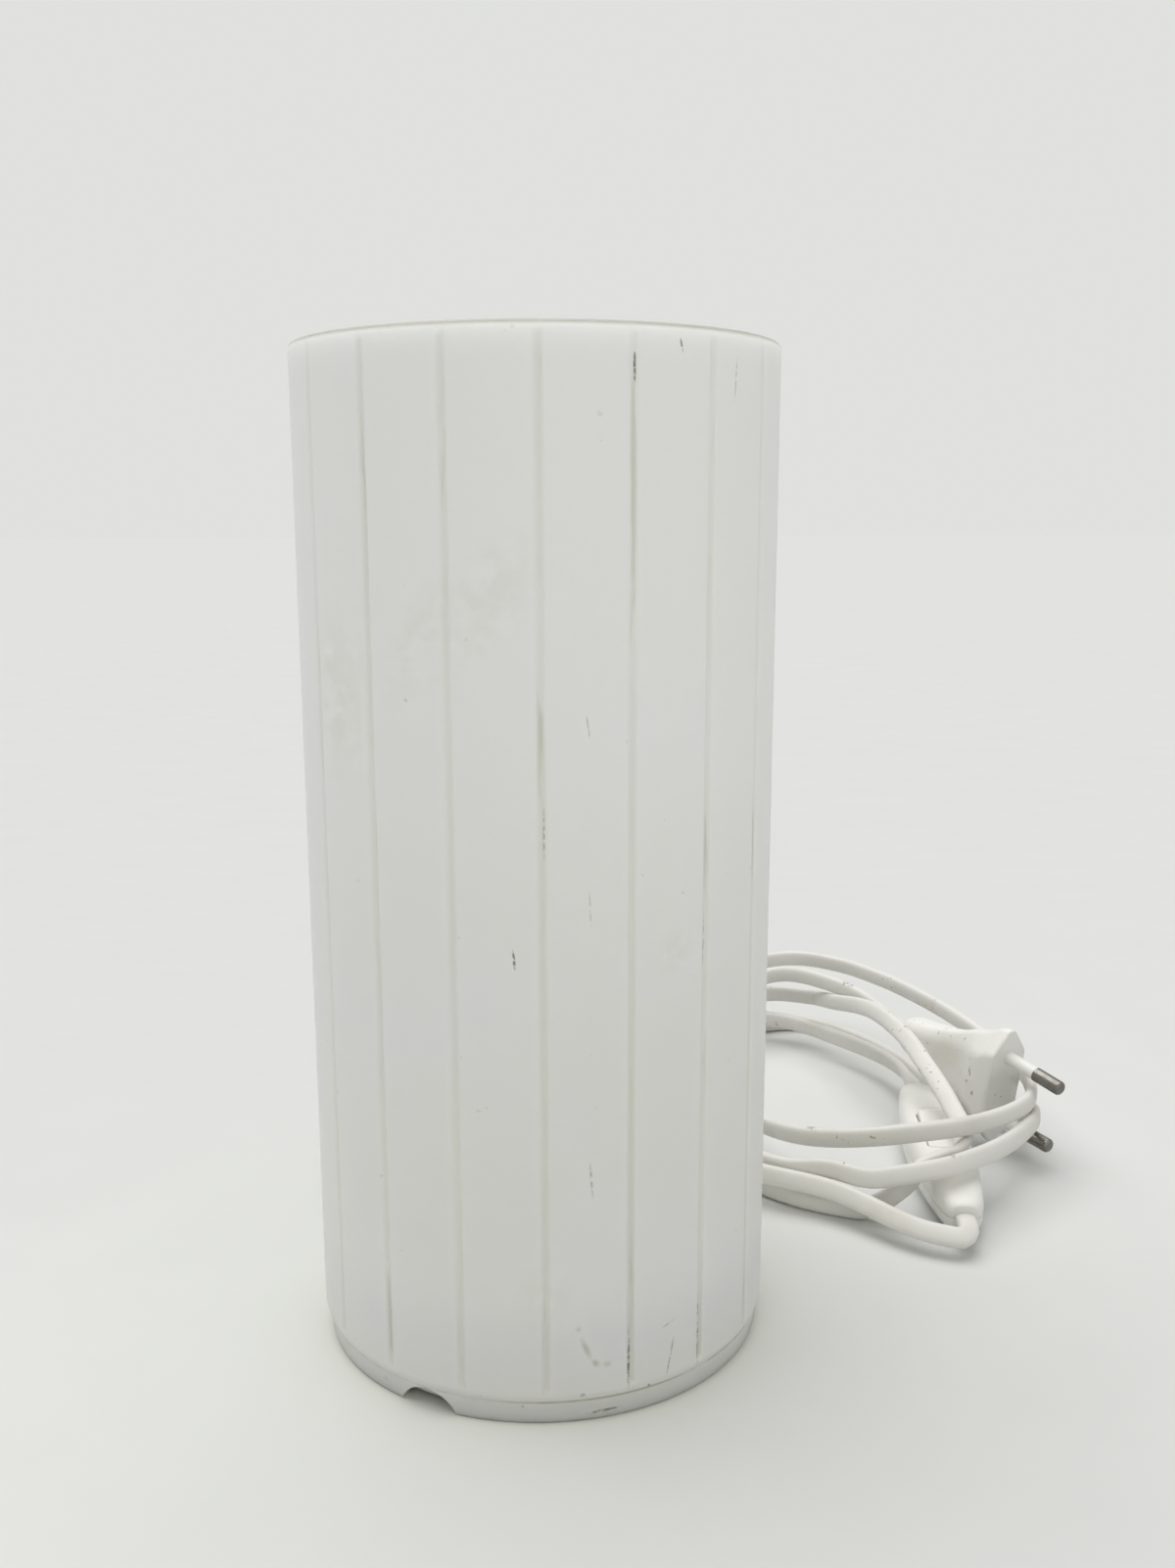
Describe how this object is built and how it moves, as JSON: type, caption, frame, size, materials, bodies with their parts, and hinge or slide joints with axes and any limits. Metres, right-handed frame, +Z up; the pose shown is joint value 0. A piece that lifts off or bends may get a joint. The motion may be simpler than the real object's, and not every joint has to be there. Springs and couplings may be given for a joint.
{
  "type": "accent lamp",
  "caption": "Table accent lamp: fluted frosted glass cylinder over an inner base with lampholder and bulb, on a flat flex with in-line rocker switch and flat mains plug.",
  "frame": {"origin": "on the floor plane under the middle of the glass cylinder", "axes": "+Z up along the glass axis, -Y towards the viewer in the picture, +X to the right, where the cord lies"},
  "size_m": [0.1916, 0.2389, 0.2145],
  "materials": {
    "frosted_glass": "acid-frosted, satin",
    "grey_plastic": "fine moulded grain",
    "rubber": "matt",
    "steel": "zinc plated",
    "cord_jacket": "soft smooth PVC",
    "ivory_plastic": "smooth moulded",
    "nickel": "nickel plated",
    "brass": "plain",
    "bulb_glass": "clear to softly frosted",
    "black_glass": "glossy",
    "white_plastic": "smooth semi-gloss"
  },
  "bodies": {
    "base": {"base_plate": "grey_plastic", "base_feet": "rubber", "cord_clamp": "grey_plastic", "clamp_screws": "steel", "cord_inner": "cord_jacket", "nipple_tube": "steel", "nipple_nut": "steel", "nipple_washer": "steel", "lampholder_cap": "ivory_plastic", "lampholder_insert": "ivory_plastic", "lampholder_shell": "ivory_plastic", "thread_sleeve": "nickel", "centre_contact": "brass", "side_contact": "brass", "holder_terminal_screws": "steel", "switch_cover": "white_plastic", "switch_base": "white_plastic", "switch_screws": "steel", "switch_terminals": "brass", "switch_terminal_screws": "steel", "switch_leaf": "brass", "plug_body": "white_plastic", "plug_pins": "nickel", "plug_sleeves": "white_plastic", "cord_lamp": "cord_jacket", "cord_plug": "cord_jacket"},
    "shade": {"glass_shade": "frosted_glass"},
    "bulb": {"bulb_envelope": "bulb_glass", "bulb_cap": "nickel", "bulb_insulator": "black_glass", "bulb_contact": "nickel", "bulb_stem": "bulb_glass", "bulb_filament": "steel"},
    "rocker": {"switch_rocker": "white_plastic"}
  },
  "joints": [
    {"name": "shade_lift", "type": "slide", "parent": "base", "child": "shade", "axis": [0, 0, 1], "range_m": [0, 0.18]},
    {"name": "bulb_turn", "type": "hinge", "parent": "base", "child": "bulb", "pos_m": [0, 0, 0.065], "axis": [0, 0, 1], "range_deg": [0, 1440]},
    {"name": "rocker_tilt", "type": "hinge", "parent": "base", "child": "rocker", "pos_m": [0.107, 0.06595, 0.0096], "axis": [-0.9986, 0.0523, 0], "range_deg": [0, 12]}
  ]
}
